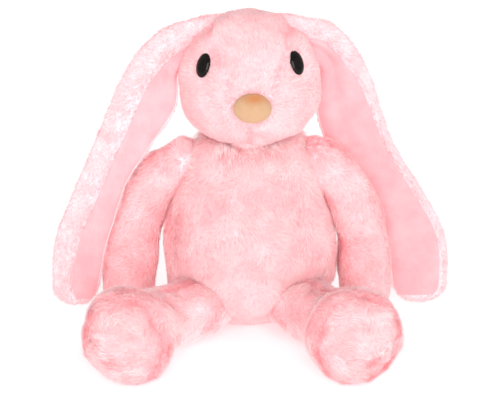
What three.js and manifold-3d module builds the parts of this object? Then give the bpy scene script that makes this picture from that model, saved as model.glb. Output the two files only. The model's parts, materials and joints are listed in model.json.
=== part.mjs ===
// Sitting plush rabbit with long drooping ears, as an assembly of sewn panels, stuffing and trim.
// Millimetres. +Z up, the face looks along -Y, the flat of the seat is at the origin.
// "left" and "right" are as seen from the front: left is -X.
import * as THREE from "three";
import { ConvexGeometry } from "three/addons/geometries/ConvexGeometry.js";
import { mergeVertices } from "three/addons/utils/BufferGeometryUtils.js";
import Module from "manifold-3d";

const wasm = await Module();
wasm.setup();

// ---------------------------------------------------------------- driving dimensions

const SKIN = 3; // fur fabric: knitted backing with its pile pressed down
const SEAM_GAP = 0.3; // between two panels, and between pieces that touch
const FILL_GAP = 1; // between a panel and the stuffing behind it
const EAR_GAP = 1.6; // between the two layers of an ear, turned right side out
const JOINT_GAP = 0.7; // round the neck ball, and round the ear roots in their slots
const SOCKET_GROW = 2.4; // how much a socket's cut stands outside the limb
const SWEEP_STEP = 16; // degrees between the positions a socket is cut for

// Torso: sections up the height, [z, half width, half depth, middle y].
const TORSO_SECTIONS = [
  [-8, 31, 24, 26],
  [4, 42, 31, 23],
  [15, 57, 42, 14],
  [27, 67, 52, 6],
  [39, 73, 58, -1],
  [76, 77, 63, -5],
  [118, 70, 57, -4],
  [146, 62, 49, -1],
  [166, 50, 40, 0],
  [188, 40, 32, -2],
];
const TORSO_SEAM = { y: 50, slope: -0.28 }; // the side seams lean back towards the seat

const HEAD = {
  centre: [0, -10, 229],
  wide: 58,
  deep: 58,
  tall: 60,
  tallBelow: 57,
  jowl: 0.06, // how much wider than an ellipsoid the cheeks are
  crown: 0.05, // and the top of the head
  muzzle: { out: 13, z: 213, wide: 30, tall: 24 },
};
const NECK = { pivot: [0, -5, 176], radius: 26 };
const HEAD_TURN = 20; // degrees each way
const HEAD_NOD = [-12, 15]; // degrees, back and down

// Half width of the centre strip of the head, [height, half width].
const GUSSET_FRONT = [
  [204, 8],
  [222, 11],
  [236, 19],
  [250, 25],
  [268, 33],
  [300, 36],
];
const GUSSET_BACK = [
  [196, 12],
  [230, 24],
  [268, 33],
  [300, 36],
];

const NOSE = { x: 2, z: 221, wide: 15.5, tall: 12.5, out: 8, cover: 1.5 };
const EYE = { x: 38.5, z: [250, 252], radius: 10.3, dome: 6.5, post: 2.5, shank: 15, washer: 9 };

const ARM = { pivotX: 58, pivotZ: 152, radius: 23.5, raise: [0, 85] };
const ARM_Y = { left: 8, right: -2 };
const ARM_X = { left: [79, 95, 104, 107, 107], right: [79, 94, 102.5, 103.8, 103.2] };

const LEG = { hip: [42, -40, 36], thigh: 26.5, foot: 40.8, range: [-15, 40] };
const FOOT = {
  left: { centre: [-99, -121, 41.2], facing: [-0.35, -0.93, 0] },
  right: { centre: [85, -121, 41.2], facing: [0.28, -0.96, 0] },
};

const EAR = { pivotX: 44, pivotZ: 264, layer: 3.8, raise: [0, 85] };
const TAIL = { pivot: [0, 58, 45], centre: [0, 74, 45], radius: 22, swing: 20, mouth: 8 };

// ---------------------------------------------------------------- helpers

const X_AXIS = new THREE.Vector3(1, 0, 0);
const Y_AXIS = new THREE.Vector3(0, 1, 0);
const Z_AXIS = new THREE.Vector3(0, 0, 1);
const vec = (p) => new THREE.Vector3(p[0], p[1], p[2]);
const radians = THREE.MathUtils.degToRad;

// A closed geometry as a solid for cutting and joining.
function solid(geometry) {
  const bare = geometry.clone();
  bare.deleteAttribute("normal");
  bare.deleteAttribute("uv");
  const merged = mergeVertices(bare, 1e-4);
  const mesh = new wasm.Mesh({
    numProp: 3,
    vertProperties: merged.attributes.position.array,
    triVerts: new Uint32Array(merged.index.array),
  });
  return new wasm.Manifold(mesh);
}

// A solid as a three.js geometry.
function geometryOf(body) {
  const mesh = body.getMesh();
  const geometry = new THREE.BufferGeometry();
  geometry.setAttribute("position", new THREE.BufferAttribute(mesh.vertProperties, 3));
  geometry.setIndex(new THREE.BufferAttribute(mesh.triVerts, 1));
  geometry.computeVertexNormals();
  return geometry;
}

function ball(centre, radii, around, rings) {
  const geometry = new THREE.SphereGeometry(1, around, rings);
  geometry.scale(radii[0], radii[1], radii[2]);
  geometry.translate(centre[0], centre[1], centre[2]);
  return solid(geometry);
}

// Everything on the side of a plane that its normal points to.
function halfSpace(normal, point) {
  const reach = 800;
  const direction = normal.clone().normalize();
  const geometry = new THREE.BoxGeometry(reach, reach, reach);
  geometry.translate(0, 0, reach / 2);
  geometry.applyQuaternion(new THREE.Quaternion().setFromUnitVectors(Z_AXIS, direction));
  geometry.translate(point.x, point.y, point.z);
  return solid(geometry);
}

// Cuts a body along a plane and leaves the seam gap: [side the normal points to, other side].
function splitAt(body, normal, point) {
  const offset = normal.clone().normalize().multiplyScalar(SEAM_GAP / 2);
  const ahead = body.intersect(halfSpace(normal, point.clone().add(offset)));
  const behind = body.subtract(halfSpace(normal, point.clone().sub(offset)));
  return [ahead, behind];
}

function ballPoints(centre, radii, around, rings) {
  const geometry = new THREE.SphereGeometry(1, around, rings);
  geometry.scale(radii[0], radii[1], radii[2]);
  const position = geometry.attributes.position;
  const points = [];
  for (let i = 0; i < position.count; i++) {
    points.push(new THREE.Vector3().fromBufferAttribute(position, i).add(centre));
  }
  return points;
}

// Points of an elliptical section of a limb, looking along `direction`.
function sectionPoints(centre, direction, deepAxis, wide, deep, count = 10) {
  const wideAxis = deepAxis.clone().cross(direction).normalize();
  const points = [];
  for (let k = 0; k < count; k++) {
    const angle = (2 * Math.PI * k) / count;
    const point = centre.clone().addScaledVector(wideAxis, Math.cos(angle) * wide);
    points.push(point.addScaledVector(deepAxis, Math.sin(angle) * deep));
  }
  return points;
}

function turnedPoints(points, pivot, axis, degrees) {
  return points.map((p) => p.clone().sub(pivot).applyAxisAngle(axis, radians(degrees)).add(pivot));
}

// The convex space a limb's root and its moving section take up over the range of a hinge.
function socketSpace(rootPoints, movingPoints, pivot, axis, range) {
  const steps = Math.ceil((range[1] - range[0]) / SWEEP_STEP);
  const points = [...rootPoints];
  for (let i = 0; i <= steps; i++) {
    const angle = range[0] + ((range[1] - range[0]) * i) / steps;
    points.push(...turnedPoints(movingPoints, pivot, axis, angle));
  }
  return solid(new ConvexGeometry(points));
}

// A soft round-ended form along a path. Each section is an ellipse: half width across the form and
// half depth along `deepAxis`. `caps` are the lengths of the two rounded ends and `flat` (+1 or -1)
// keeps one half of the depth only. `level` keeps the sections horizontal. `grow` moves the whole
// surface out, and `detail` thins out the facets round the section and on the ends.
function softForm(form, grow = 0, detail = 1) {
  const path = new THREE.CatmullRomCurve3(form.path.map(vec));
  const size = new THREE.CatmullRomCurve3(form.size.map((s) => new THREE.Vector3(s[0], s[1], 0)));
  const length = path.getLength();
  const around = Math.round(form.around * detail);
  const capRings = Math.ceil(form.capRings * detail);
  const caps = form.caps.map((c) => c + grow);
  const from = form.caps[0];
  const to = length - form.caps[1];
  const rings = [];
  for (let i = 0; i < capRings; i++) {
    const a = (Math.PI / 2) * (i / capRings);
    rings.push([from - caps[0] * Math.cos(a), Math.sin(a)]);
  }
  for (let i = 0; i <= form.bodyRings; i++) {
    rings.push([from + ((to - from) * i) / form.bodyRings, 1]);
  }
  for (let i = 1; i <= capRings; i++) {
    const a = (Math.PI / 2) * (i / capRings);
    rings.push([to + caps[1] * Math.sin(a), Math.cos(a)]);
  }
  const geometry = new THREE.SphereGeometry(1, around, rings.length - 1);
  const position = geometry.attributes.position;
  const point = new THREE.Vector3();
  rings.forEach(([along, fullness], ring) => {
    const u = THREE.MathUtils.clamp(along / length, 0, 1);
    const t = path.getUtoTmapping(u);
    const tangent = path.getTangent(t);
    const centre = path.getPoint(t).addScaledVector(tangent, along - u * length);
    const facing = form.level ? Z_AXIS : tangent;
    const deepAxis = form.deepAxis.clone().addScaledVector(facing, -form.deepAxis.dot(facing));
    deepAxis.normalize();
    const wideAxis = deepAxis.clone().cross(facing);
    const section = size.getPoint(t);
    const half = fullness < 1e-6 ? 0 : fullness;
    for (let k = 0; k <= around; k++) {
      const angle = (k % around) * ((2 * Math.PI) / around);
      let deep = Math.sin(angle) * (section.y + grow) * half;
      if (form.flat) {
        deep = form.flat * (EAR_GAP / 2 + Math.max(0, form.flat * deep));
      }
      point.copy(centre);
      point.addScaledVector(wideAxis, -Math.cos(angle) * (section.x + grow) * half);
      point.addScaledVector(deepAxis, deep);
      position.setXYZ(ring * (around + 1) + k, point.x, point.y, point.z);
    }
  });
  return solid(geometry);
}

// Skin shell and stuffing of a soft form.
function shellAndFill(form) {
  const outer = softForm(form);
  return {
    shell: outer.subtract(softForm(form, -SKIN)),
    fill: softForm(form, -SKIN - FILL_GAP, 0.5),
  };
}

// ---------------------------------------------------------------- soft forms

const torsoForm = {
  path: TORSO_SECTIONS.map((s) => [0, s[3], s[0]]),
  size: TORSO_SECTIONS.map((s) => [s[1], s[2]]),
  caps: [12, 12],
  around: 24,
  capRings: 2,
  bodyRings: 10,
  deepAxis: Y_AXIS,
  level: true,
};

function armForm(name, side) {
  const x = ARM_X[name].map((value) => side * value);
  const y = ARM_Y[name];
  return {
    path: [
      [side * (ARM.pivotX - 20), 3, ARM.pivotZ + 12],
      [side * ARM.pivotX, 3, ARM.pivotZ],
      [x[0], y * 0.6 + 1, 139],
      [x[1], y, 112],
      [x[2], y, 75],
      [x[3], y, 40],
      [x[4], y, 6],
    ],
    size: [
      [ARM.radius, ARM.radius],
      [ARM.radius, ARM.radius],
      [22.5, 22.5],
      [21.5, 22],
      [21.5, 22],
      [21.5, 22],
      [20, 20],
    ],
    caps: [23.3, 20],
    around: 12,
    capRings: 3,
    bodyRings: 6,
    deepAxis: Y_AXIS,
  };
}

function legForm(side, foot) {
  const hip = vec([side * LEG.hip[0], LEG.hip[1], LEG.hip[2]]);
  const footCentre = vec(foot.centre);
  const facing = vec(foot.facing).normalize();
  const direction = footCentre.clone().sub(hip).normalize();
  const ankle = facing.clone().add(direction).normalize();
  const beside = (from, along, distance) => from.clone().addScaledVector(along, distance).toArray();
  return {
    hip,
    footCentre,
    facing,
    direction,
    path: [
      beside(hip, direction, -LEG.thigh),
      hip.toArray(),
      beside(hip, direction, 28),
      beside(footCentre, ankle, -40),
      beside(footCentre, facing, -19),
      beside(footCentre, facing, 2),
      beside(footCentre, facing, 29),
    ],
    size: [
      [LEG.thigh, LEG.thigh],
      [LEG.thigh, LEG.thigh],
      [26, 26],
      [26.5, 26],
      [36, 35],
      [LEG.foot, LEG.foot],
      [37, 37],
    ],
    caps: [LEG.thigh, 22],
    around: 14,
    capRings: 3,
    bodyRings: 7,
    deepAxis: Z_AXIS,
  };
}

// The ears hang outside the arms: the left one in front of its arm, the right one behind.
const EAR_PATH = {
  left: [
    [27, -5, 270],
    [44, -6, 264],
    [62, -9, 257],
    [78, -15, 242],
    [87, -21, 218],
    [101, -25, 188],
    [119, -26, 155],
    [135, -25, 119],
    [148, -24, 82],
    [154, -23, 29],
  ],
  right: [
    [27, -5, 270],
    [44, -4, 264],
    [62, 0, 257],
    [78, 9, 242],
    [87, 18, 218],
    [96, 27, 188],
    [117, 32, 150],
    [139, 33, 108],
    [151, 31, 70],
    [155, 29, 11],
  ],
};
const EAR_WIDTH = {
  left: [18, 18, 19, 19, 23, 22, 19, 19, 20, 18],
  right: [18, 18, 19, 19, 22, 22, 17, 20, 24, 22],
};

function earForm(name, side, flat) {
  return {
    path: EAR_PATH[name].map((p) => [side * p[0], p[1], p[2]]),
    size: EAR_WIDTH[name].map((w) => [w, EAR.layer]),
    caps: [18, 18],
    around: 10,
    capRings: 3,
    bodyRings: 9,
    deepAxis: Y_AXIS,
    flat,
  };
}

// A point of the head's surface in the direction of a unit vector, `grow` outside the skin.
function headPoint(direction, grow) {
  const m = HEAD.muzzle;
  const point = vec(HEAD.centre);
  const below = Math.max(0, -direction.z);
  const fuller = direction.z < 0 ? HEAD.jowl : HEAD.crown;
  const widen = 1 + fuller * Math.sin(Math.PI * Math.min(1, Math.abs(direction.z)));
  const tall = below > 0 ? HEAD.tallBelow : HEAD.tall;
  point.x += direction.x * (HEAD.wide * widen + grow);
  point.y += direction.y * (HEAD.deep + grow);
  point.z += direction.z * (tall + grow);
  const fade = Math.min(1, Math.max(0, -direction.y) * 1.6);
  const hill = Math.exp(-((point.x / m.wide) ** 2) - ((point.z - m.z) / m.tall) ** 2);
  point.y -= m.out * hill * fade;
  return point;
}

function headForm(grow, around = 24, rings = 14) {
  const geometry = new THREE.SphereGeometry(1, around, rings);
  geometry.rotateX(Math.PI / 2);
  const position = geometry.attributes.position;
  const direction = new THREE.Vector3();
  for (let i = 0; i < position.count; i++) {
    direction.fromBufferAttribute(position, i);
    const point = headPoint(direction, grow);
    position.setXYZ(i, point.x, point.y, point.z);
  }
  return solid(geometry);
}

// Where the head's surface stands at a given x and height, with the outward normal there.
function faceFrame(x, z) {
  const dx = x / HEAD.wide;
  const dz = (z - HEAD.centre[2]) / HEAD.tall;
  const direction = new THREE.Vector3(dx, -Math.sqrt(Math.max(0, 1 - dx * dx - dz * dz)), dz);
  const point = headPoint(direction, 0);
  const step = 0.02;
  const sideways = headPoint(direction.clone().addScaledVector(X_AXIS, step).normalize(), 0).sub(point);
  const upwards = headPoint(direction.clone().addScaledVector(Z_AXIS, step).normalize(), 0).sub(point);
  const normal = sideways.cross(upwards).normalize();
  return { point, normal };
}

// ---------------------------------------------------------------- assembly

const group = new THREE.Group();
group.name = "sitting_rabbit";

function addPiece(name, body, color, roughness, metalness = 0) {
  const material = new THREE.MeshStandardMaterial({ color, roughness, metalness });
  const mesh = new THREE.Mesh(geometryOf(body), material);
  mesh.name = name;
  group.add(mesh);
}

const COLOURS = {
  fur: 0xfcd3d6,
  furShade: 0xfbcbd0,
  lining: 0xfdd4d5,
  fill: 0xf4f1ec,
  nose: 0xe8bd97,
  eye: 0x0b0a0a,
  washer: 0xe9e7e2,
};

const SIDES = [
  ["left", -1],
  ["right", 1],
];

// Limbs and ears first: the torso and head are cut for the space they move in.
const torsoCuts = [];
const headCuts = [];

for (const [name, side] of SIDES) {
  const form = armForm(name, side);
  const { shell, fill } = shellAndFill(form);
  const seamPoint = vec([side * 100, ARM_Y[name] * 0.9, 80]);
  const [back, front] = splitAt(shell, Y_AXIS, seamPoint);
  addPiece(`${name}_arm_front_panel`, front, COLOURS.furShade, 0.95);
  addPiece(`${name}_arm_back_panel`, back, COLOURS.furShade, 0.95);
  addPiece(`${name}_arm_stuffing`, fill, COLOURS.fill, 1);
  const pivot = vec([side * ARM.pivotX, 3, ARM.pivotZ]);
  const root = ballPoints(pivot, Array(3).fill(ARM.radius + SOCKET_GROW + 0.8), 12, 8);
  const bend = vec([side * 90, ARM_Y[name] * 0.8, 122]);
  const down = new THREE.Vector3(side * 0.5, 0, -0.866);
  const moving = sectionPoints(bend, down, Y_AXIS, 22.5 + SOCKET_GROW, 22.5 + SOCKET_GROW);
  torsoCuts.push(socketSpace(root, moving, pivot, new THREE.Vector3(0, -side, 0), ARM.raise));
}

for (const [name, side] of SIDES) {
  const form = legForm(side, FOOT[name]);
  const { shell, fill } = shellAndFill(form);
  const outward = Z_AXIS.clone().cross(form.direction).normalize().multiplyScalar(-side);
  const soleAt = form.footCentre.clone().addScaledVector(form.facing, 10);
  const [sole, tube] = splitAt(shell, form.facing, soleAt);
  const [outer, inner] = splitAt(tube, outward, form.hip);
  addPiece(`${name}_leg_outer_panel`, outer, COLOURS.furShade, 0.95);
  addPiece(`${name}_leg_inner_panel`, inner, COLOURS.furShade, 0.95);
  addPiece(`${name}_foot_sole`, sole, COLOURS.fur, 0.95);
  addPiece(`${name}_leg_stuffing`, fill, COLOURS.fill, 1);
  const root = ballPoints(form.hip, Array(3).fill(LEG.thigh + SOCKET_GROW), 12, 8);
  const thigh = form.hip.clone().addScaledVector(form.direction, 50);
  const upright = Z_AXIS.clone().addScaledVector(form.direction, -form.direction.z).normalize();
  const moving = sectionPoints(thigh, form.direction, upright, 27 + SOCKET_GROW, 26 + SOCKET_GROW);
  const axis = form.direction.clone().cross(Z_AXIS).normalize();
  torsoCuts.push(socketSpace(root, moving, form.hip, axis, LEG.range));
}

for (const [name, side] of SIDES) {
  addPiece(`${name}_ear_back`, softForm(earForm(name, side, 1)), COLOURS.fur, 0.95);
  addPiece(`${name}_ear_lining`, softForm(earForm(name, side, -1)), COLOURS.lining, 0.85);
  const pivot = vec([side * EAR.pivotX, 0, EAR.pivotZ]);
  const path = EAR_PATH[name];
  const rootRadius = EAR_WIDTH[name][1] + 2;
  const layer = EAR.layer + EAR_GAP / 2 + 2 * JOINT_GAP;
  const root = [-layer, layer].flatMap((y) =>
    sectionPoints(vec([side * path[1][0], path[1][1] + y, path[1][2]]), Y_AXIS, Z_AXIS, rootRadius, rootRadius, 20),
  );
  const moving = [2, 3, 4].flatMap((i) => {
    const across = vec(path[i + 1]).sub(vec(path[i - 1])).setY(0).normalize().cross(Y_AXIS);
    return [-1, 1].flatMap((edge) => {
      const point = vec(path[i]).addScaledVector(across, edge * (EAR_WIDTH[name][i] + JOINT_GAP));
      return [-layer, layer].map((y) => vec([side * point.x, point.y + y, point.z]));
    });
  });
  headCuts.push(socketSpace(root, moving, pivot, new THREE.Vector3(0, -side, 0), EAR.raise));
}

// Tail: a stuffed ball with its mouth towards the torso.
const tailRadii = (inset) => Array(3).fill(TAIL.radius - inset);
const tailMouth = new THREE.CylinderGeometry(TAIL.mouth, TAIL.mouth, TAIL.radius, 12);
tailMouth.translate(TAIL.centre[0], TAIL.centre[1] - TAIL.radius, TAIL.centre[2]);
const tailShell = ball(TAIL.centre, tailRadii(0), 12, 8).subtract(ball(TAIL.centre, tailRadii(SKIN), 12, 8));
addPiece("tail_cover", tailShell.subtract(solid(tailMouth)), COLOURS.fur, 0.95);
addPiece("tail_stuffing", ball(TAIL.centre, tailRadii(SKIN + FILL_GAP), 6, 4), COLOURS.fill, 1);
const tailBall = ballPoints(vec(TAIL.centre), tailRadii(-SOCKET_GROW), 12, 8);
torsoCuts.push(socketSpace([], tailBall, vec(TAIL.pivot), Z_AXIS, [-TAIL.swing, TAIL.swing]));

// Neck: a firm ball of stuffing on which the head turns and nods.
const neckRadii = (inset) => Array(3).fill(NECK.radius - inset);
addPiece("neck_stuffing", ball(NECK.pivot, neckRadii(0), 16, 8), COLOURS.fill, 1);
const neckSocket = ball(NECK.pivot, neckRadii(-JOINT_GAP - 0.6), 16, 8);
torsoCuts.push(neckSocket);
headCuts.push(neckSocket);
const headUnderside = ballPoints(new THREE.Vector3(), [1, 1, 1], 18, 12)
  .map((direction) => headPoint(direction, SOCKET_GROW))
  .filter((point) => point.z < 200);
const nodded = [HEAD_NOD[0], 0, HEAD_NOD[1]].flatMap((nod) =>
  turnedPoints(headUnderside, vec(NECK.pivot), X_AXIS, nod),
);
torsoCuts.push(socketSpace([], nodded, vec(NECK.pivot), Z_AXIS, [-HEAD_TURN, HEAD_TURN]));

const cutAll = (body, cuts) => cuts.reduce((rest, cut) => rest.subtract(cut), body);

// Torso: a front panel that carries the seat, and two back panels joined along the spine.
const floor = halfSpace(Z_AXIS, vec([0, 0, 0]));
const floorInside = halfSpace(Z_AXIS, vec([0, 0, SKIN]));
const fillFloor = halfSpace(Z_AXIS, vec([0, 0, SKIN + FILL_GAP]));
const torsoOuter = softForm(torsoForm).intersect(floor);
const torsoInner = softForm(torsoForm, -SKIN).intersect(floorInside);
const torsoShell = cutAll(torsoOuter.subtract(torsoInner), torsoCuts);
const seamNormal = new THREE.Vector3(0, 1, -TORSO_SEAM.slope);
const [torsoBack, torsoFront] = splitAt(torsoShell, seamNormal, vec([0, TORSO_SEAM.y, 0]));
const [backRight, backLeft] = splitAt(torsoBack, X_AXIS, new THREE.Vector3());
addPiece("torso_front_panel", torsoFront, COLOURS.fur, 0.95);
addPiece("torso_left_back_panel", backLeft, COLOURS.fur, 0.95);
addPiece("torso_right_back_panel", backRight, COLOURS.fur, 0.95);
const torsoFill = softForm(torsoForm, -SKIN - FILL_GAP, 0.5).intersect(fillFloor);
addPiece("torso_stuffing", cutAll(torsoFill, torsoCuts), COLOURS.fill, 1);

// Head: a centre strip from the nose over the crown to the nape, between two side panels.
function gussetCutter(outline, towards, widen) {
  const shape = new THREE.Shape();
  outline.forEach(([z, w], i) => {
    if (i === 0) shape.moveTo(w + widen, z);
    else shape.lineTo(w + widen, z);
  });
  [...outline].reverse().forEach(([z, w]) => shape.lineTo(-w - widen, z));
  shape.closePath();
  const geometry = new THREE.ExtrudeGeometry(shape, { depth: 200, bevelEnabled: false });
  geometry.rotateX(Math.PI / 2);
  const start = towards < 0 ? HEAD.centre[1] : HEAD.centre[1] + 200;
  geometry.translate(0, start, 0);
  return solid(geometry);
}

function gussetSpace(widen) {
  return gussetCutter(GUSSET_FRONT, -1, widen).add(gussetCutter(GUSSET_BACK, 1, widen));
}

const headShell = cutAll(headForm(0).subtract(headForm(-SKIN)), headCuts);
let headSides = headShell.subtract(gussetSpace(SEAM_GAP));
let headGusset = headShell.intersect(gussetSpace(0));
let headFill = cutAll(headForm(-SKIN - 1.6 * FILL_GAP, 12, 7), headCuts);

// Eyes: moulded domes on shanks, each held by a washer behind the fabric.
function eyePiece(frame, geometries) {
  const aim = new THREE.Quaternion().setFromUnitVectors(Y_AXIS, frame.normal);
  return geometries.map((geometry) => {
    geometry.applyQuaternion(aim);
    geometry.translate(frame.point.x, frame.point.y, frame.point.z);
    return solid(geometry);
  });
}

function disc(radius, bottom, top, around) {
  const geometry = new THREE.CylinderGeometry(radius, radius, top - bottom, around);
  geometry.translate(0, (top + bottom) / 2, 0);
  return geometry;
}

SIDES.forEach(([name, side], i) => {
  const frame = faceFrame(side * EYE.x, EYE.z[i]);
  const seat = -0.6;
  const washerTop = -SKIN - 1.6;
  const lid = new THREE.SphereGeometry(1, 14, 10);
  lid.scale(EYE.radius, EYE.dome, EYE.radius);
  lid.translate(0, seat, 0);
  const [wholeDome, post, backCut, pocket, hole, washerDisc, washerHole, washerSpace] = eyePiece(frame, [
    lid,
    disc(EYE.post, -EYE.shank, seat + 1, 8),
    disc(EYE.radius * 2, seat - 20, seat, 8),
    disc(EYE.radius + 0.6, seat - SEAM_GAP, 20, 14),
    disc(EYE.post + 2 * SEAM_GAP, -EYE.shank - 1, 1, 8),
    disc(EYE.washer, washerTop - 1.8, washerTop, 12),
    disc(EYE.post + 2 * SEAM_GAP, washerTop - 4, washerTop + 4, 8),
    disc(EYE.washer + 0.7, washerTop - 2.8, washerTop + 4, 12),
  ]);
  const eye = wholeDome.subtract(backCut).add(post);
  addPiece(`${name}_eye`, eye, COLOURS.eye, 0.08);
  addPiece(`${name}_eye_washer`, washerDisc.subtract(washerHole), COLOURS.washer, 0.5);
  headSides = headSides.subtract(pocket).subtract(hole);
  headGusset = headGusset.subtract(pocket).subtract(hole);
  headFill = headFill.subtract(hole).subtract(washerSpace);
});

const [headRight, headLeft] = splitAt(headSides, X_AXIS, new THREE.Vector3());
addPiece("head_gusset", headGusset, COLOURS.fur, 0.95);
addPiece("head_left_side_panel", headLeft, COLOURS.fur, 0.95);
addPiece("head_right_side_panel", headRight, COLOURS.fur, 0.95);
addPiece("head_stuffing", headFill, COLOURS.fill, 1);

// Nose: a velour cover over a small pad, sewn to the front of the muzzle.
const noseFrame = faceFrame(NOSE.x, NOSE.z);
function noseForm(inset) {
  const radii = [NOSE.wide - inset, NOSE.out - inset, NOSE.tall - inset];
  return ball([NOSE.x, noseFrame.point.y + 0.5, NOSE.z], radii, 14, 8);
}
const behindNose = headForm(SEAM_GAP);
const noseCover = noseForm(0).subtract(noseForm(NOSE.cover)).subtract(behindNose);
addPiece("nose_cover", noseCover, COLOURS.nose, 0.8);
addPiece("nose_pad", noseForm(NOSE.cover + SEAM_GAP).subtract(behindNose), COLOURS.fill, 1);

export default group;
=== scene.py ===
"""Looks of a sitting plush rabbit with long drooping ears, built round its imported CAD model.

Metres. +Z up, the face looks along -Y. "left" and "right" are as seen from the front: left is -X.
Each soft part is a skin made from its CAD panels, with sewn seams and a pile of fine strands.
"""

import json
import math

import bmesh
import bpy
import numpy as np
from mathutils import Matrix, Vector
from mathutils.kdtree import KDTree


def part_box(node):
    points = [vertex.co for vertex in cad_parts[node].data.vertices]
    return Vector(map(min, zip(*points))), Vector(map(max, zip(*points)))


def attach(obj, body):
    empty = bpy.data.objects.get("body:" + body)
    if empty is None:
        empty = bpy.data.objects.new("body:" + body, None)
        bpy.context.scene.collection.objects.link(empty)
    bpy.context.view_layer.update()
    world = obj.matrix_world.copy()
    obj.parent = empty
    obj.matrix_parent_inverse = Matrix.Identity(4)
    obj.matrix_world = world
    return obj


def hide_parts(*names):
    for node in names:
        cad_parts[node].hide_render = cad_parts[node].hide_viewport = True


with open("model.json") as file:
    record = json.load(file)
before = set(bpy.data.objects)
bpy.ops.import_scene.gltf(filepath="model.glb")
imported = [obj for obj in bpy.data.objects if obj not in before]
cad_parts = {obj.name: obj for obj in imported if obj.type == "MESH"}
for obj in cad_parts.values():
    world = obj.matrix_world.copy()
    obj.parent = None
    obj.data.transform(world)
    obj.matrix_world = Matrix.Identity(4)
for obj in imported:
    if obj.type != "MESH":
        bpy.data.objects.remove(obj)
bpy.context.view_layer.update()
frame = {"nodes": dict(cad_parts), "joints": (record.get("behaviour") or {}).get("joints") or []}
scene = bpy.context.scene
MM = 0.001

# ---------------------------------------------------------------- camera

CAMERA = {"target": (0, 0, 0.118), "distance": 1.15, "elevation": 18, "lens": 93.6}


def make_camera():
    data = bpy.data.cameras.new("camera")
    data.lens = CAMERA["lens"]
    data.sensor_width = 36
    camera = bpy.data.objects.new("camera", data)
    scene.collection.objects.link(camera)
    tilt = math.radians(CAMERA["elevation"])
    back = Vector((0, -math.cos(tilt), math.sin(tilt)))
    camera.location = Vector(CAMERA["target"]) + back * CAMERA["distance"]
    camera.rotation_euler = (-back).to_track_quat("-Z", "Y").to_euler()
    scene.camera = camera


make_camera()

# ---------------------------------------------------------------- materials


def srgb(red, green, blue):
    """A colour given as 0-255 display values, as the linear values a shader takes."""
    values = np.array([red, green, blue]) / 255
    linear = np.where(values <= 0.04045, values / 12.92, ((values + 0.055) / 1.055) ** 2.4)
    return (*linear, 1)


def new_material(name, roughness, sheen=0.0, coat=0.0, specular=0.5):
    material = bpy.data.materials.new(name)
    material.use_nodes = True
    shader = material.node_tree.nodes["Principled BSDF"]
    shader.inputs["Roughness"].default_value = roughness
    shader.inputs["Sheen Weight"].default_value = sheen
    shader.inputs["Sheen Roughness"].default_value = 0.5
    shader.inputs["Coat Weight"].default_value = coat
    shader.inputs["Coat Roughness"].default_value = 0.05
    shader.inputs["Specular IOR Level"].default_value = specular
    return material, shader


def noise_node(tree, size, detail=3.0, roughness=0.55):
    """Noise whose patches are about `size` metres across."""
    place = tree.nodes.new("ShaderNodeTexCoord")
    noise = tree.nodes.new("ShaderNodeTexNoise")
    noise.inputs["Scale"].default_value = 1 / size
    noise.inputs["Detail"].default_value = detail
    noise.inputs["Roughness"].default_value = roughness
    tree.links.new(place.outputs["Object"], noise.inputs["Vector"])
    return noise


def ramp_node(tree, value, stops):
    ramp = tree.nodes.new("ShaderNodeValToRGB")
    elements = ramp.color_ramp.elements
    while len(elements) < len(stops):
        elements.new(0.5)
    for element, (at, colour) in zip(elements, stops):
        element.position = at
        element.color = colour
    tree.links.new(value, ramp.inputs["Fac"])
    return ramp.outputs["Color"]


def mix_node(tree, factor, a, b, blend="MIX"):
    mix = tree.nodes.new("ShaderNodeMix")
    mix.data_type = "RGBA"
    mix.blend_type = blend
    for socket, value in ((mix.inputs[0], factor), (mix.inputs[6], a), (mix.inputs[7], b)):
        if isinstance(value, bpy.types.NodeSocket):
            tree.links.new(value, socket)
        else:
            socket.default_value = value
    return mix.outputs[2]


def bump_node(tree, height, depth, strength=1.0):
    bump = tree.nodes.new("ShaderNodeBump")
    bump.inputs["Strength"].default_value = strength
    bump.inputs["Distance"].default_value = depth
    tree.links.new(height, bump.inputs["Height"])
    return bump.outputs["Normal"]


STRAND_TRANSLUCENCY = 0.45


def pile_material(name, deep, middle, pale):
    """Strands of pile: deeper at the root, mottled in soft patches, and each strand a little different."""
    material, shader = new_material(name, roughness=0.85, sheen=0.05, specular=0.08)
    tree = material.node_tree
    patches = noise_node(tree, size=0.018, detail=3).outputs["Fac"]
    mottled = ramp_node(tree, patches, [(0.36, middle), (0.62, pale)])
    # The along value runs from root to tip; near seams it is lowered, so the deep root colour there is painted
    # shade in the seam's crease.
    along = tree.nodes.new("ShaderNodeAttribute")
    along.attribute_name = "along"
    rooted = ramp_node(tree, along.outputs["Fac"], [(0.0, (1, 1, 1, 1)), (0.6, (0, 0, 0, 1))])
    colour = mix_node(tree, rooted, mottled, deep)
    tree.links.new(colour, shader.inputs["Base Color"])
    through = tree.nodes.new("ShaderNodeBsdfTranslucent")
    tree.links.new(colour, through.inputs["Color"])
    both = tree.nodes.new("ShaderNodeMixShader")
    both.inputs["Fac"].default_value = STRAND_TRANSLUCENCY
    tree.links.new(shader.outputs["BSDF"], both.inputs[1])
    tree.links.new(through.outputs["BSDF"], both.inputs[2])
    tree.links.new(both.outputs["Shader"], tree.nodes["Material Output"].inputs["Surface"])
    return material


def skin_material(name, deep, pale):
    """The knitted backing under the pile."""
    material, shader = new_material(name, roughness=0.95, specular=0.1)
    tree = material.node_tree
    patches = noise_node(tree, size=0.01, detail=4).outputs["Fac"]
    tree.links.new(ramp_node(tree, patches, [(0.35, deep), (0.65, pale)]), shader.inputs["Base Color"])
    knit = noise_node(tree, size=0.0012, detail=1).outputs["Fac"]
    tree.links.new(bump_node(tree, knit, 0.0006), shader.inputs["Normal"])
    return material


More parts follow.
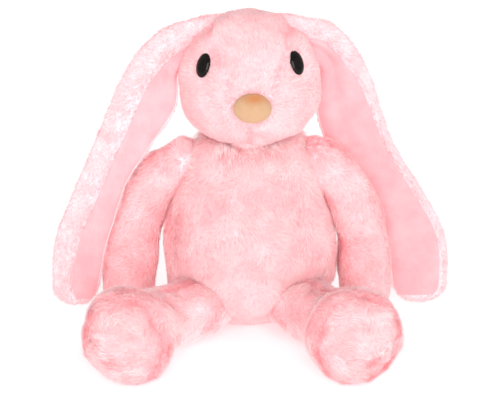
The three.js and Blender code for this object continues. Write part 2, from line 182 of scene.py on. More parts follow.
def velour_material(name, deep, pale, patch):
    """Short brushed velour: fine tooth, soft brush marks."""
    material, shader = new_material(name, roughness=0.8, sheen=0.35, specular=0.15)
    tree = material.node_tree
    marks = noise_node(tree, size=patch, detail=4, roughness=0.6).outputs["Fac"]
    tree.links.new(ramp_node(tree, marks, [(0.35, deep), (0.65, pale)]), shader.inputs["Base Color"])
    tooth = noise_node(tree, size=0.0009, detail=2).outputs["Fac"]
    tree.links.new(bump_node(tree, tooth, 0.0005), shader.inputs["Normal"])
    return material


FUR = pile_material("fur_pile", srgb(254, 203, 208), srgb(255, 228, 230), srgb(255, 238, 239))
# A paler copy of the fur, as painted light: it lightens the legs, the neck and the collar under the chin,
# where shade falls.
SHADE_LIGHTENED_FUR = pile_material("painted_light_fur_pile", srgb(255, 222, 225), srgb(255, 242, 243), srgb(255, 248, 248))
BACKING = skin_material("fur_backing", srgb(253, 214, 218), srgb(254, 224, 228))
LINING = velour_material("lining_velour", srgb(250, 169, 175), srgb(252, 182, 187), patch=0.016)

# ---------------------------------------------------------------- geometry helpers


def unit(vectors):
    return vectors / np.maximum(np.linalg.norm(vectors, axis=-1, keepdims=True), 1e-9)


class Waves:
    """Smooth random variation in space: a sum of plane waves of about one wavelength."""

    def __init__(self, seed, wavelength, count=20):
        rng = np.random.default_rng(seed)
        spread = rng.uniform(0.75, 1.35, (count, 1))
        self.waves = unit(rng.normal(size=(count, 3))) * 2 * math.pi / (wavelength * spread)
        self.phase = rng.uniform(0, 2 * math.pi, count)
        self.gain = math.sqrt(2 / count)
        self.per_metre = 2 * math.pi / wavelength

    def value(self, points):
        return np.cos(points @ self.waves.T + self.phase).sum(1) * self.gain

    def pull(self, points):
        """How far each point moves to gather round the nearest crest."""
        slope = -np.sin(points @ self.waves.T + self.phase) @ self.waves * self.gain
        return slope / self.per_metre**2


def vertex_array(mesh, what="co"):
    values = np.zeros(len(mesh.vertices) * 3, np.float32)
    mesh.vertices.foreach_get(what, values)
    return values.reshape(-1, 3).astype(float)


def set_vertices(mesh, points):
    mesh.vertices.foreach_set("co", points.astype(np.float32).ravel())
    mesh.update()


def store_values(mesh, name, values):
    """One number for each vertex, which a material can read by name."""
    mesh.attributes.new(name, "FLOAT", "POINT").data.foreach_set("value", values.astype(np.float32))


def triangle_array(mesh):
    mesh.calc_loop_triangles()
    values = np.zeros(len(mesh.loop_triangles) * 3, np.int32)
    mesh.loop_triangles.foreach_get("vertices", values)
    return values.reshape(-1, 3)


def new_object(name, mesh, material):
    obj = bpy.data.objects.new(name, mesh)
    scene.collection.objects.link(obj)
    mesh.materials.clear()
    mesh.materials.append(material)
    mesh.shade_smooth()
    return obj


def box_of(nodes):
    """Middle and half sizes of a group of CAD nodes."""
    corners = [np.array(c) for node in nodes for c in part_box(node)]
    low, high = np.min(corners, axis=0), np.max(corners, axis=0)
    return (low + high) / 2, (high - low) / 2


def joint_place(name):
    return np.array(next(j["pos_m"] for j in frame["joints"] if j["name"] == name))


# ---------------------------------------------------------------- skins from the CAD panels


def seam_line(node_a, node_b, reach=0.9 * MM, spacing=1.5 * MM):
    """Points along the seam between two CAD panels: the edges of one that run beside the other."""
    mesh_a, mesh_b = (frame["nodes"][n].data for n in (node_a, node_b))
    tree = KDTree(len(mesh_b.vertices))
    for i, vertex in enumerate(mesh_b.vertices):
        tree.insert(vertex.co, i)
    tree.balance()
    beside = [tree.find(v.co)[2] < reach for v in mesh_a.vertices]
    points = []
    for edge in mesh_a.edges:
        i, j = edge.vertices
        if beside[i] and beside[j]:
            a, b = mesh_a.vertices[i].co, mesh_a.vertices[j].co
            steps = max(1, int((b - a).length / spacing))
            points += [a.lerp(b, k / steps) for k in range(steps + 1)]
    return points


def distance_to(points, targets):
    tree = KDTree(len(targets))
    for i, target in enumerate(targets):
        tree.insert(target, i)
    tree.balance()
    return np.array([tree.find(p)[2] for p in points])


SEAM_DEPTH = 1.6 * MM
SEAM_WIDTH = 4 * MM
LUMP_SIZE = 34 * MM
FLAT_SEAT = 12 * MM  # below this height a part keeps to its panels, so that it sits flat


def make_skin(
    name, nodes, seams, body, hull=False, voxel=3 * MM, smooth=14, lumps=0.8 * MM, inset=0.0
):
    """A closed soft skin over a group of CAD nodes, with its sewn seams pulled in."""
    source = bpy.data.meshes.new(name + "_source")
    bm = bmesh.new()
    for node in nodes:
        if hull:
            for vertex in frame["nodes"][node].data.vertices:
                bm.verts.new(vertex.co)
        else:
            bm.from_mesh(frame["nodes"][node].data)
    if hull:
        bmesh.ops.convex_hull(bm, input=bm.verts)
        loose = [v for v in bm.verts if not v.link_faces]
        bmesh.ops.delete(bm, geom=loose, context="VERTS")
    bm.to_mesh(source)
    bm.free()
    rough = bpy.data.objects.new(name + "_rough", source)
    scene.collection.objects.link(rough)
    remesh = rough.modifiers.new("remesh", "REMESH")
    remesh.mode = "VOXEL"
    remesh.voxel_size = voxel
    relax = rough.modifiers.new("relax", "SMOOTH")
    relax.factor = 0.5
    relax.iterations = smooth
    evaluated = rough.evaluated_get(bpy.context.evaluated_depsgraph_get())
    mesh = bpy.data.meshes.new_from_object(evaluated)
    mesh.name = name
    bpy.data.objects.remove(rough)
    points, normals = vertex_array(mesh), vertex_array(mesh, "normal")
    seam_points = [p for a, b in seams for p in seam_line(a, b)]
    seam_distance = distance_to(points, seam_points) if seam_points else np.full(len(points), 1.0)
    groove = SEAM_DEPTH * np.exp(-((seam_distance / SEAM_WIDTH) ** 2))
    swell = Waves(len(points), LUMP_SIZE).value(points) * lumps
    floor = np.clip(points[:, 2] / FLAT_SEAT, 0, 1)
    points += normals * ((swell - lumps - inset) * floor - groove)[:, None]
    set_vertices(mesh, points)
    store_values(mesh, "seam", seam_distance)
    skin = new_object(name, mesh, BACKING)
    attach(skin, body)
    return skin


# ---------------------------------------------------------------- pile


SEAM_REACH = 3.5 * MM  # the pile is shorter this close to a seam, and deeper in colour there as painted shade in the seam's crease


def make_pile(name, skin, count, length, combed_from, seed, density=None, longer=None, width=0.5 * MM,
              swirl=0.5, lean=0.72, tuft=0.4, material=FUR):
    """Fine flat strands rooted on a skin, combed away from a point, gathered into tufts and swirled."""
    rng = np.random.default_rng(seed)
    mesh = skin.data
    points, normals, triangles = vertex_array(mesh), vertex_array(mesh, "normal"), triangle_array(mesh)
    a, b, c = (points[triangles[:, k]] for k in range(3))
    chance = np.linalg.norm(np.cross(b - a, c - a), axis=1)
    if density is not None:
        chance = chance * density[triangles].mean(1)
    total = np.cumsum(chance)
    picked = np.searchsorted(total, rng.uniform(0, total[-1], count))
    share = np.sqrt(rng.uniform(size=(count, 1)))
    second = rng.uniform(size=(count, 1))
    weights = np.concatenate([1 - share, share * (1 - second), share * second], axis=1)
    corners = triangles[picked]
    root = np.einsum("nk,nkd->nd", weights, points[corners])
    normal = unit(np.einsum("nk,nkd->nd", weights, normals[corners]))
    seam = np.full(len(points), 1.0, np.float32)
    if "seam" in mesh.attributes:
        mesh.attributes["seam"].data.foreach_get("value", seam)
    near_seam = np.exp(-((np.einsum("nk,nk->n", weights, seam[corners]) / SEAM_REACH) ** 2))

    away = root - combed_from
    flow = unit(away - normal * np.einsum("nd,nd->n", away, normal)[:, None])
    aside = np.cross(normal, flow)
    turn = swirl * (Waves(seed + 1, 46 * MM).value(root) + 0.5 * Waves(seed + 2, 17 * MM).value(root))
    turn = (turn + rng.normal(0, 0.22, count))[:, None]
    flow = flow * np.cos(turn) + aside * np.sin(turn)

    patchy = 1 + 0.12 * Waves(seed + 3, 20 * MM).value(root)
    size = length * patchy * rng.uniform(0.72, 1.15, count) * (1 - 0.4 * near_seam)
    if longer is not None:
        size *= np.einsum("nk,nk->n", weights, longer[corners])
    size = size[:, None]
    rise = (1 - lean) * rng.uniform(0.8, 1.25, (count, 1))
    gather = tuft * (Waves(seed + 4, 8 * MM).pull(root) + 0.35 * Waves(seed + 5, 19 * MM).pull(root))
    gather -= normal * np.einsum("nd,nd->n", gather, normal)[:, None]
    start = root - normal * 0.4 * MM
    middle = start + size * 0.5 * unit(normal * rise * 1.5 + flow * lean)
    tip = middle + size * 0.5 * unit(normal * rise * 0.75 + flow * lean * 1.2)
    middle += gather * 0.4
    tip += gather
    for row in (middle, tip):
        row[:, 2] = np.maximum(row[:, 2], rng.uniform(0.2, 1.2, count) * MM)

    along = unit(tip - start)
    flat = unit(np.cross(along, normal))
    twist = rng.normal(0, 0.45, (count, 1))
    flat = flat * np.cos(twist) + np.cross(along, flat) * np.sin(twist)
    facing = unit(np.cross(flat, along))
    facing *= np.sign(np.einsum("nd,nd->n", facing, normal))[:, None]
    half = 0.5 * width * rng.uniform(0.75, 1.3, (count, 1))
    strands = np.stack([start - flat * half, start + flat * half,
                        middle - flat * half * 0.85, middle + flat * half * 0.85, tip], axis=1)
    first = np.arange(count)[:, None] * 5
    faces = np.concatenate([first + [0, 1, 3], first + [0, 3, 2], first + [2, 3, 4]], axis=1).reshape(-1, 3)
    wound = np.cross(strands[:, 1] - strands[:, 0], strands[:, 3] - strands[:, 0])
    turned = np.repeat(np.einsum("nd,nd->n", wound, facing) < 0, 3)
    faces[turned] = faces[turned][:, ::-1]

    pile = bpy.data.meshes.new(name)
    pile.vertices.add(count * 5)
    pile.vertices.foreach_set("co", strands.astype(np.float32).ravel())
    pile.loops.add(len(faces) * 3)
    pile.loops.foreach_set("vertex_index", faces.astype(np.int32).ravel())
    pile.polygons.add(len(faces))
    pile.polygons.foreach_set("loop_start", np.arange(0, len(faces) * 3, 3, dtype=np.int32))
    pile.update(calc_edges=True)
    # Near a seam each strand is graded towards the deep root colour: painted shade in the seam's crease.
    grade = np.tile([0.0, 0.0, 0.55, 0.55, 1.0], count) - np.repeat(near_seam * 0.5, 5)
    grade += np.repeat(rng.normal(0, 0.12, count), 5)
    store_values(pile, "along", grade)
    low, high = strands.min((0, 1)), strands.max((0, 1))
    place = (strands - low) / (high - low)
    front_or_back = place[..., 0] * 0.5 + 0.5 * (normal[:, 1:2] > 0)
    spot = np.stack([front_or_back, place[..., 2]], axis=-1).reshape(-1, 2)
    chart = pile.uv_layers.new(name="OFBake")
    chart.uv.foreach_set("vector", spot[faces.ravel()].astype(np.float32).ravel())
    obj = new_object(name, pile, material)
    obj.parent = skin
    return obj


# ---------------------------------------------------------------- stuffed parts

TORSO = ["torso_front_panel", "torso_left_back_panel", "torso_right_back_panel", "torso_stuffing"]
HEAD_PANELS = ["head_gusset", "head_left_side_panel", "head_right_side_panel"]

RUFF_START = 160 * MM  # the pile grows longer from this height up to the neck
RUFF_RISE = 18 * MM
COLLAR_HEIGHT = 172 * MM
COLLAR_SPREAD = 13 * MM
COLLAR_BACK = 12 * MM  # how far back the collar goes round the neck

torso = make_skin(
    "torso_skin",
    TORSO,
    [(TORSO[0], TORSO[1]), (TORSO[0], TORSO[2]), (TORSO[1], TORSO[2])],
    "torso",
    hull=True,
    voxel=4 * MM,
)
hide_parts(*TORSO)
neck_joint = joint_place("head_turn")
above_neck = neck_joint + [0, 0, 40 * MM]
middle_y = box_of(TORSO)[0][1]
torso_points = vertex_array(torso.data)
towards_front = (torso_points[:, 1] < middle_y).astype(float)
torso_height = torso_points[:, 2]
ruff = 1 + 0.8 * np.clip((torso_height - RUFF_START) / RUFF_RISE, 0, 1)
make_pile("torso_pile_front", torso, 64000, 7.2 * MM, above_neck, 11, density=towards_front, longer=ruff)
make_pile("torso_pile_back", torso, 58000, 7.2 * MM, above_neck, 12, density=1 - towards_front, longer=ruff)
# Strands at the top of the chest stand up against the chin, in the paler fur as painted light over the shade
# under the chin.
collar = np.exp(-(((torso_height - COLLAR_HEIGHT) / COLLAR_SPREAD) ** 2))
collar *= torso_points[:, 1] < COLLAR_BACK
mid_torso = np.array([0, middle_y, 90 * MM])
make_pile("torso_collar_pile", torso, 9000, 8 * MM, mid_torso, 14, density=collar, lean=0.7, material=SHADE_LIGHTENED_FUR)

neck = make_skin("neck_skin", ["neck_stuffing"], [], "neck")
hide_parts("neck_stuffing")
# The neck's pile is the paler fur, painted light where the head shades it.
make_pile("neck_pile", neck, 7000, 6 * MM, above_neck, 13, material=SHADE_LIGHTENED_FUR)

head = make_skin(
    "head_skin",
    HEAD_PANELS,
    [(HEAD_PANELS[0], HEAD_PANELS[1]), (HEAD_PANELS[0], HEAD_PANELS[2]), (HEAD_PANELS[1], HEAD_PANELS[2])],
    "head",
    hull=True,
    inset=0.3 * MM,
)
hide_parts("head_stuffing", *HEAD_PANELS)


def disc_axis(node, outwards_from):
    """Middle of a disc-shaped CAD node, and the direction it faces."""
    points = vertex_array(frame["nodes"][node].data)
    centre = (points.min(0) + points.max(0)) / 2
    axis = np.linalg.svd(points - points.mean(0), full_matrices=False)[2][-1]
    return centre, axis * np.sign(np.dot(axis, centre - outwards_from))


head_centre = box_of(HEAD_PANELS)[0]
EYE_RADIUS = 10.3 * MM
EYE_HALF_WIDTH = 7.3 * MM  # what the fur leaves showing of its width
EYE_DOME = 3.7 * MM
EYE_SUNK = 2.2 * MM  # the dome's edge below the fabric
EYE_INWARD = 0.4 * MM  # towards the nose from the washer's middle
WASHER_DEPTH = 4.9 * MM  # from the fabric to the middle of the washer
EYE_DIP = 2.2 * MM
EYE_DIP_REACH = 13 * MM
CHEEK_HEIGHT = 205 * MM
CHEEK_SPREAD = 30 * MM
eyes = {}
for side in ("left", "right"):
    washer, axis = disc_axis(f"{side}_eye_washer", head_centre)
    outer = unit(washer * [1, 0, 0] - axis * (washer[0] * axis[0]))
    eyes[side] = (washer + axis * (WASHER_DEPTH - EYE_SUNK) - outer * EYE_INWARD, axis, outer)

# The cheeks are full, and the skin dips a little where each eye is pulled in.
points, normals = vertex_array(head.data), vertex_array(head.data, "normal")
points[:, 0] *= 1 + 0.05 * np.exp(-(((points[:, 2] - CHEEK_HEIGHT) / CHEEK_SPREAD) ** 2))
bald = np.ones(len(points))
for centre, axis, outer in eyes.values():
    reach = np.linalg.norm(points - centre, axis=1)
    points -= normals * (EYE_DIP * np.exp(-((reach / EYE_DIP_REACH) ** 2)))[:, None]
    aside = (points - centre) @ outer
    upright = np.linalg.norm(points - centre - outer * aside[:, None], axis=1)
    bald *= np.hypot(aside / EYE_HALF_WIDTH, upright / EYE_RADIUS) > 0.94
set_vertices(head.data, points)

nose_centre, nose_half = box_of(["nose_cover"])
from_nose = np.array(nose_centre) + [0, 12 * MM, 4 * MM]
beside_nose = (points - nose_centre) / (nose_half * [0.86, 1.5, 0.84])
bald *= np.linalg.norm(beside_nose, axis=1) > 1
make_pile("head_pile", head, 66000, 5.8 * MM, from_nose, 21, density=bald, swirl=0.35)


ARM_FULLEST = 66 * MM  # height
ARM_FULL_SPREAD = 48 * MM
ARM_HALF_WIDTH = 15 * MM
# How much fuller than its panels each arm lies, outwards and inwards.
ARM_SPREAD = {"left": (7.5 * MM, 1 * MM), "right": (1 * MM, 3.5 * MM)}
SOLE_REACH = 9 * MM


def spread_arm(arm, out, inward):
    """Fills an arm sideways about its middle line, most just above the hand."""
    points = vertex_array(arm.data)
    aside, height = np.abs(points[:, 0]), points[:, 2]
    middle = np.polyval(np.polyfit(height, aside, 2), height)
    share = np.clip((aside - middle) / ARM_HALF_WIDTH, -1, 1)
    near = np.exp(-(((height - ARM_FULLEST) / ARM_FULL_SPREAD) ** 2))
    points[:, 0] += np.sign(points[:, 0]) * share * near * np.where(share > 0, out, inward)
    set_vertices(arm.data, points)


for seed, side in ((31, "left"), (41, "right")):
    arm_nodes = [f"{side}_arm_{part}" for part in ("front_panel", "back_panel", "stuffing")]
    arm = make_skin(f"{side}_arm_skin", arm_nodes, [tuple(arm_nodes[:2])], f"{side}_arm")
    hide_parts(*arm_nodes)
    spread_arm(arm, *ARM_SPREAD[side])
    make_pile(f"{side}_arm_pile", arm, 32000, 7 * MM, joint_place(f"{side}_arm_raise"), seed)

    leg_parts = ("leg_outer_panel", "leg_inner_panel", "foot_sole", "leg_stuffing")
    leg_nodes = [f"{side}_{part}" for part in leg_parts]
    outer_panel, inner_panel, foot_sole, _ = leg_nodes
    leg_seams = [(outer_panel, inner_panel), (foot_sole, outer_panel), (foot_sole, inner_panel)]
    leg = make_skin(f"{side}_leg_skin", leg_nodes, leg_seams, f"{side}_leg")
    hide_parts(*leg_nodes)
    hip = joint_place(f"{side}_leg_lift")
    sole = vertex_array(frame["nodes"][foot_sole].data)
    on_sole = np.exp(-((distance_to(vertex_array(leg.data), sole) / SOLE_REACH) ** 4))
    # The leg pile is the paler fur, painted light on legs that lie in shade.
    make_pile(f"{side}_leg_pile", leg, 34000, 7.5 * MM, hip, seed + 5, density=1 - on_sole,
              swirl=0.5, material=SHADE_LIGHTENED_FUR)
    make_pile(f"{side}_sole_pile", leg, 15000, 7 * MM, hip, seed + 6, density=on_sole, swirl=0.8)

tail = make_skin("tail_skin", ["tail_cover", "tail_stuffing"], [], "tail")
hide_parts("tail_cover", "tail_stuffing")
make_pile("tail_pile", tail, 14000, 8 * MM, joint_place("tail_wag"), 51)

# ---------------------------------------------------------------- eyes and nose

EYE, eye_shader = new_material("eye_plastic", roughness=0.1, coat=0.15, specular=0.1)
speckle = noise_node(EYE.node_tree, size=0.003, detail=2).outputs["Fac"]
eye_tones = [(0.3, (0.003, 0.002, 0.002, 1)), (0.7, (0.008, 0.006, 0.005, 1))]
eye_colour = ramp_node(EYE.node_tree, speckle, eye_tones)
EYE.node_tree.links.new(eye_colour, eye_shader.inputs["Base Color"])


def dome_mesh(name, surface, rings, around):
    """A closed round form: surface(polar, turn) gives a point, polar from 0 at the front to pi behind."""
    polar = np.linspace(0, math.pi, rings + 1)[1:-1]
    turn = np.linspace(0, 2 * math.pi, around, endpoint=False)
    rows = [surface(p, turn) for p in polar]
    points = np.concatenate([surface(0, turn[:1]), *rows, surface(math.pi, turn[:1])])
    faces = []
    for k in range(around):
        after = (k + 1) % around
        faces.append((0, 1 + k, 1 + after))
        for ring in range(rings - 2):
            here = 1 + ring * around
            faces.append((here + k, here + around + k, here + around + after, here + after))
        last = 1 + (rings - 2) * around
        faces.append((last + k, len(points) - 1, last + after))
    mesh = bpy.data.meshes.new(name)
    mesh.from_pydata([tuple(p) for p in points], [], faces)
    mesh.update()
    return mesh


def facing_frame(axis):
    across = unit(np.cross(np.array([0.0, 0.0, 1.0]), axis))
    return across, np.cross(axis, across)


for side, (centre, axis, outer) in eyes.items():
    across, up = facing_frame(axis)

    def eye_surface(polar, turn, centre=centre, axis=axis, across=across, up=up):
        flat = 0.35 if polar > math.pi / 2 else 1.0
        wide, tall = across * EYE_HALF_WIDTH, up * EYE_RADIUS
        ring = wide * np.cos(turn)[:, None] + tall * np.sin(turn)[:, None]
        return centre + axis * (math.cos(polar) * EYE_DOME * flat) + ring * math.sin(polar)

    eye = new_object(f"{side}_eye_dome", dome_mesh(f"{side}_eye_dome", eye_surface, 20, 36), EYE)
    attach(eye, "head")
    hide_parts(f"{side}_eye", f"{side}_eye_washer")


def nose_material():
    """Tan velour, with painted shade darkening the pinched dent at its top."""
    material, shader = new_material("nose_velour", roughness=0.85, sheen=0.3, specular=0.15)
    tree = material.node_tree
    marks = noise_node(tree, size=0.006, detail=4).outputs["Fac"]
    tan = ramp_node(tree, marks, [(0.3, srgb(191, 152, 118)), (0.7, srgb(197, 159, 125))])
    dent_and_shade = tree.nodes.new("ShaderNodeAttribute")
    dent_and_shade.attribute_name = "dent_and_shade"
    colour = mix_node(tree, dent_and_shade.outputs["Fac"], tan, srgb(194, 118, 64))
    tree.links.new(colour, shader.inputs["Base Color"])
    tooth = noise_node(tree, size=0.0008, detail=2).outputs["Fac"]
    tree.links.new(bump_node(tree, tooth, 0.0004), shader.inputs["Normal"])
    return material


def nose_surface(polar, turn):
    across = math.sin(polar) * np.cos(turn)
    up = math.sin(polar) * np.sin(turn)
    out = np.full(len(turn), -math.cos(polar))
    return nose_centre + nose_half * np.stack([across, out * 1.05, up], axis=1)


nose_mesh = dome_mesh("nose_velour", nose_surface, 40, 64)
nose_points = vertex_array(nose_mesh)
shares = (nose_points - nose_centre) / nose_half
# The dent at the nose's top is pressed in, and the same mask paints shade into its colour.
dent_and_shade = np.exp(-(((shares[:, 0] - 0.12) / 0.6) ** 2) - (((shares[:, 2] - 0.74) / 0.32) ** 2))
dent_and_shade *= shares[:, 1] < 0.2
nose_points[:, 1] += dent_and_shade * 1.6 * MM
set_vertices(nose_mesh, nose_points)
store_values(nose_mesh, "dent_and_shade", dent_and_shade * 0.85)
nose = new_object("nose_velour", nose_mesh, nose_material())
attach(nose, "head")
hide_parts("nose_cover", "nose_pad")

# ---------------------------------------------------------------- ears

# Middle line of each ear from its root to its tip, [out from the middle, y, z, half width], millimetres.
EAR_LINE = {
    "left": [
        [8, -4, 267, 17],
        [27, -5, 267, 18],
        [44, -6, 264, 18],
        [62, -9, 258, 19],
        [79, -15, 243, 20],
        [89, -21, 218, 25],
        [103, -25, 188, 24],
        [121, -26, 155, 21],
        [137, -25, 119, 21],
        [150, -24, 82, 22],
        [156, -23, 29, 20],
    ],
    "right": [
        [8, -4, 267, 17],
        [27, -5, 268, 18],
        [44, -4, 265, 18],
        [62, 0, 259, 19],
        [77, 9, 243, 18],
        [86, 18, 218, 22],
        [96, 27, 188, 22],
        [117, 32, 150, 17],
        [139, 33, 108, 21],
        [154, 31, 66, 27],
        [158, 29, 10, 25],
    ],
}
EAR_THICKNESS = 4.2 * MM  # each way from the middle layer
EAR_CAP = 18 * MM
# How far the fur comes round the outer edge on to the front, [share of the length, width in mm].
EAR_RIM = {
    "left": [[0, 26], [0.15, 24], [0.5, 21], [0.85, 20], [1, 16]],
    "right": [[0, 18], [0.2, 16], [0.4, 8.5], [0.8, 7.5], [1, 7]],
}
# How much further the loose inner edge reaches than its CAD layer, [share of the length, mm].
EAR_LOOSE = {
    "left": [[0, 0], [0.2, 0], [0.34, 5], [0.46, 0], [0.6, 0], [0.72, 3], [0.86, 3], [1, 0]],
    "right": [[0, 0], [0.23, 3], [0.33, 10], [0.44, 16], [0.55, 14], [0.7, 5], [1, 0]],
}
EAR_TRIM = 1.6 * MM  # left for the pile at the outer edge
# Lengthwise folds: where across the width each starts and ends (-1 inner edge, 1 outer), how far down
# the ear it runs, and its depth in mm.
EAR_FOLDS = {
    "left": [(-0.35, -0.7, 0.42, 5), (-0.05, -0.35, 0.6, 3.4)],
    "right": [(-0.3, -0.55, 0.6, 5.4), (0.15, -0.2, 0.35, 2.4)],
}


def spline(rows, count):
    """A smooth curve through the rows, resampled evenly by its length in the first three columns."""
    rows = np.array(rows, float)
    ends = np.concatenate([[2 * rows[0] - rows[1]], rows, [2 * rows[-1] - rows[-2]]])
    t = np.linspace(0, len(rows) - 1, count * 8)
    i = np.minimum(t.astype(int), len(rows) - 2)
    f = (t - i)[:, None]
    p0, p1, p2, p3 = (ends[i + k] for k in range(4))
    square = 2 * p0 - 5 * p1 + 4 * p2 - p3
    cube = 3 * p1 - p0 - 3 * p2 + p3
    curve = 0.5 * (2 * p1 + (p2 - p0) * f + square * f**2 + cube * f**3)
    steps = np.concatenate([[0], np.cumsum(np.linalg.norm(np.diff(curve[:, :3], axis=0), axis=1))])
    even = np.linspace(0, steps[-1], count)
    return np.stack([np.interp(even, steps, column) for column in curve.T], axis=1), steps[-1]


class Ear:
    """The form of one ear: points by share of its length, place across it, and height off its middle."""

    def __init__(self, name, count=160):
        self.name = name
        side = -1 if name == "left" else 1
        rows, length = spline(EAR_LINE[name], count)
        rows *= MM
        self.length = length * MM
        self.u = np.linspace(0, 1, count)
        self.line = rows[:, :3] * [side, 1, 1]
        tangent = unit(np.gradient(self.line, axis=0))
        self.back = unit(np.array([0, 1.0, 0]) - tangent * tangent[:, 1:2])
        outer = np.cross(tangent, self.back) * side
        self.outer = outer * np.sign((outer * [side, 0, 0.6]).sum(1))[:, None]
        run = self.u * self.length
        end = np.minimum(np.minimum(run, self.length - run) / EAR_CAP, 1)
        rounded = np.sqrt(np.maximum(1 - (1 - end) ** 2, 0))
        loose = np.interp(self.u, *np.array(EAR_LOOSE[name]).T) * MM
        self.half = (rows[:, 3] - EAR_TRIM) * rounded
        self.inner_half = (rows[:, 3] - EAR_TRIM + loose) * rounded
        self.root = 1 + 1.2 * np.clip(1 - run / (80 * MM), 0, 1)

    def sample(self, values, u):
        if values.ndim == 1:
            return np.interp(u, self.u, values)
        return np.stack([np.interp(u, self.u, column) for column in values.T], axis=-1)

    def bend(self, u, v):
        """How far the whole ear stands back from its middle line: lengthwise folds and a slight cup."""
        shift = -1.2 * MM * v**2
        for start, end, reach, depth in EAR_FOLDS[self.name]:
            where = start + (end - start) * np.clip(u / reach, 0, 1)
            fade = np.clip(1 - u / reach, 0, 1) ** 0.7
            shift = shift + depth * MM * fade * np.exp(-(((v - where) / 0.2) ** 2))
        return shift + 1.0 * MM * np.sin(u * 17 + v * 2)

    def point(self, u, v, height):
        """v runs from -1, the inner edge, to 1, the outer edge; height is off the middle, back positive."""
        base = self.sample(self.line, u)
        reach = np.where(v > 0, self.sample(self.half, u), self.sample(self.inner_half, u))
        across = self.sample(self.outer, u) * (v * reach)[..., None]
        off = self.sample(self.back, u) * (height * self.sample(self.root, u) + self.bend(u, v))[..., None]
        return base + across + off

    def rim(self, u):
        """Where across the width the fur's edge lies on the front."""
        width = np.interp(u, *np.array(EAR_RIM[self.name]).T) * MM
        return 1 - width / np.maximum(self.sample(self.half, u), 1e-4)


def grid_faces(rows, columns, closed):
    faces = []
    for i in range(rows - 1):
        for k in range(columns if closed else columns - 1):
            after = (k + 1) % columns
            here, below = i * columns, (i + 1) * columns
            faces.append((here + k, here + after, below + after, below + k))
    return faces


def outward(mesh, direction=None):
    """Turns the faces to point outwards, or along a direction."""
    bm = bmesh.new()
    bm.from_mesh(mesh)
    if direction is None:
        bmesh.ops.recalc_face_normals(bm, faces=bm.faces)
    elif sum(f.normal.dot(direction) for f in bm.faces) < 0:
        bmesh.ops.reverse_faces(bm, faces=bm.faces)
    bm.to_mesh(mesh)
    bm.free()


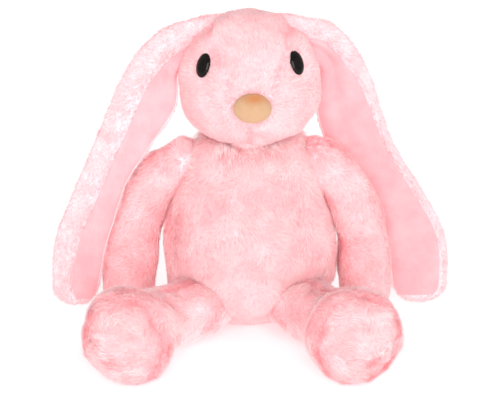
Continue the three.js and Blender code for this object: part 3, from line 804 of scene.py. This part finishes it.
def make_ear(name, seed):
    ear = Ear(name)
    body = f"{name}_ear"
    rings, around = 110, 56
    u = np.repeat(np.linspace(0.002, 0.998, rings), around)
    angle = np.tile(np.linspace(0, 2 * math.pi, around, endpoint=False), rings)
    v = np.cos(angle)
    end = np.minimum(np.minimum(u, 1 - u) * ear.length / (6 * MM), 1)
    height = np.sin(angle) * EAR_THICKNESS * np.sqrt(np.maximum(1 - (1 - end) ** 2, 0.02))
    points = ear.point(u, v, height)
    edge = ear.rim(u)
    front = (height < 0) & (v < edge) & (u < 0.975)
    seam = np.where(height < 0, np.abs(v - edge) * ear.sample(ear.half, u), 1.0)
    points += ear.sample(ear.back, u) * (1.4 * MM * np.exp(-((seam / (2.5 * MM)) ** 2)))[:, None]
    mesh = bpy.data.meshes.new(f"{name}_ear_back_skin")
    ends = [tuple(range(around)), tuple(range((rings - 1) * around, rings * around))]
    mesh.from_pydata([tuple(p) for p in points], [], grid_faces(rings, around, True) + ends)
    outward(mesh)
    store_values(mesh, "seam", seam)
    skin = new_object(f"{name}_ear_back_skin", mesh, BACKING)
    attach(skin, body)
    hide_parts(f"{name}_ear_back")
    root = joint_place(f"{name}_ear_lift")
    make_pile(f"{name}_ear_pile", skin, 30000, 5.2 * MM, root, seed, density=(~front).astype(float),
              swirl=0.25, lean=0.8, tuft=0.25)

    columns, rows = 40, 120
    lu = np.repeat(np.linspace(0.09, 0.978, rows), columns)
    share = np.tile(np.linspace(0, 1, columns), rows)
    inner, outer = -0.95, ear.rim(lu)
    lv = inner + (outer - inner) * share
    surface = -EAR_THICKNESS * np.sqrt(np.maximum(1 - lv**2, 0.0))
    crown = 4 * share * (1 - share)
    stop = np.clip((0.978 - lu) * ear.length / (5 * MM), 0, 1)
    lift = -(0.2 + 1.6 * np.minimum(crown, 0.5) * stop) * MM
    lining_mesh = bpy.data.meshes.new(f"{name}_ear_lining_cloth")
    cloth = ear.point(lu, lv, surface + lift)
    lining_mesh.from_pydata([tuple(p) for p in cloth], [], grid_faces(rows, columns, False))
    outward(lining_mesh, Vector((0, -1, 0)))
    lining = new_object(f"{name}_ear_lining_cloth", lining_mesh, LINING)
    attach(lining, body)
    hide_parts(f"{name}_ear_lining")


make_ear("left", 61)
make_ear("right", 71)

# ---------------------------------------------------------------- floor and light


FLOOR_REACH = 6.0
FLOOR_GLOW = 0.3  # keeps the paper white beside the lit rabbit
SKY_STRENGTH = 0.6
LIGHT_AIM = Vector((0, 0, 0.12))


def make_floor():
    mesh = bpy.data.meshes.new("floor")
    corners = [(x * FLOOR_REACH, y * FLOOR_REACH, 0) for x, y in ((-1, -1), (1, -1), (1, 1), (-1, 1))]
    mesh.from_pydata(corners, [], [(0, 1, 2, 3)])
    material, shader = new_material("floor_paper", roughness=0.9, specular=0.1)
    tone = noise_node(material.node_tree, size=0.4).outputs["Fac"]
    tones = [(0.3, (0.93, 0.93, 0.93, 1)), (0.7, (0.95, 0.95, 0.95, 1))]
    paper = ramp_node(material.node_tree, tone, tones)
    material.node_tree.links.new(paper, shader.inputs["Base Color"])
    shader.inputs["Emission Color"].default_value = (1, 1, 1, 1)
    shader.inputs["Emission Strength"].default_value = FLOOR_GLOW
    floor = new_object("floor", mesh, material)


def make_light():
    world = bpy.data.worlds.new("studio")
    scene.world = world
    world.use_nodes = True
    sky = world.node_tree.nodes["Background"]
    sky.inputs["Color"].default_value = (1, 1, 1, 1)
    sky.inputs["Strength"].default_value = SKY_STRENGTH
    for name, place, size, power in (
        ("front", (0.1, -1.6, 0.62), 1.1, 22),
        ("back", (0.3, 1.9, 1.2), 1.4, 12),
    ):
        data = bpy.data.lights.new(name, "AREA")
        data.size = size
        data.energy = power
        lamp = bpy.data.objects.new(name, data)
        lamp.location = place
        lamp.visible_camera = False
        lamp.rotation_euler = (Vector(place) - LIGHT_AIM).to_track_quat("Z", "Y").to_euler()
        scene.collection.objects.link(lamp)


make_floor()
make_light()
scene.view_settings.view_transform = "Standard"
# Light passes between many strands before it leaves pale fur.
scene.cycles.diffuse_bounces = 14
scene.cycles.max_bounces = 16
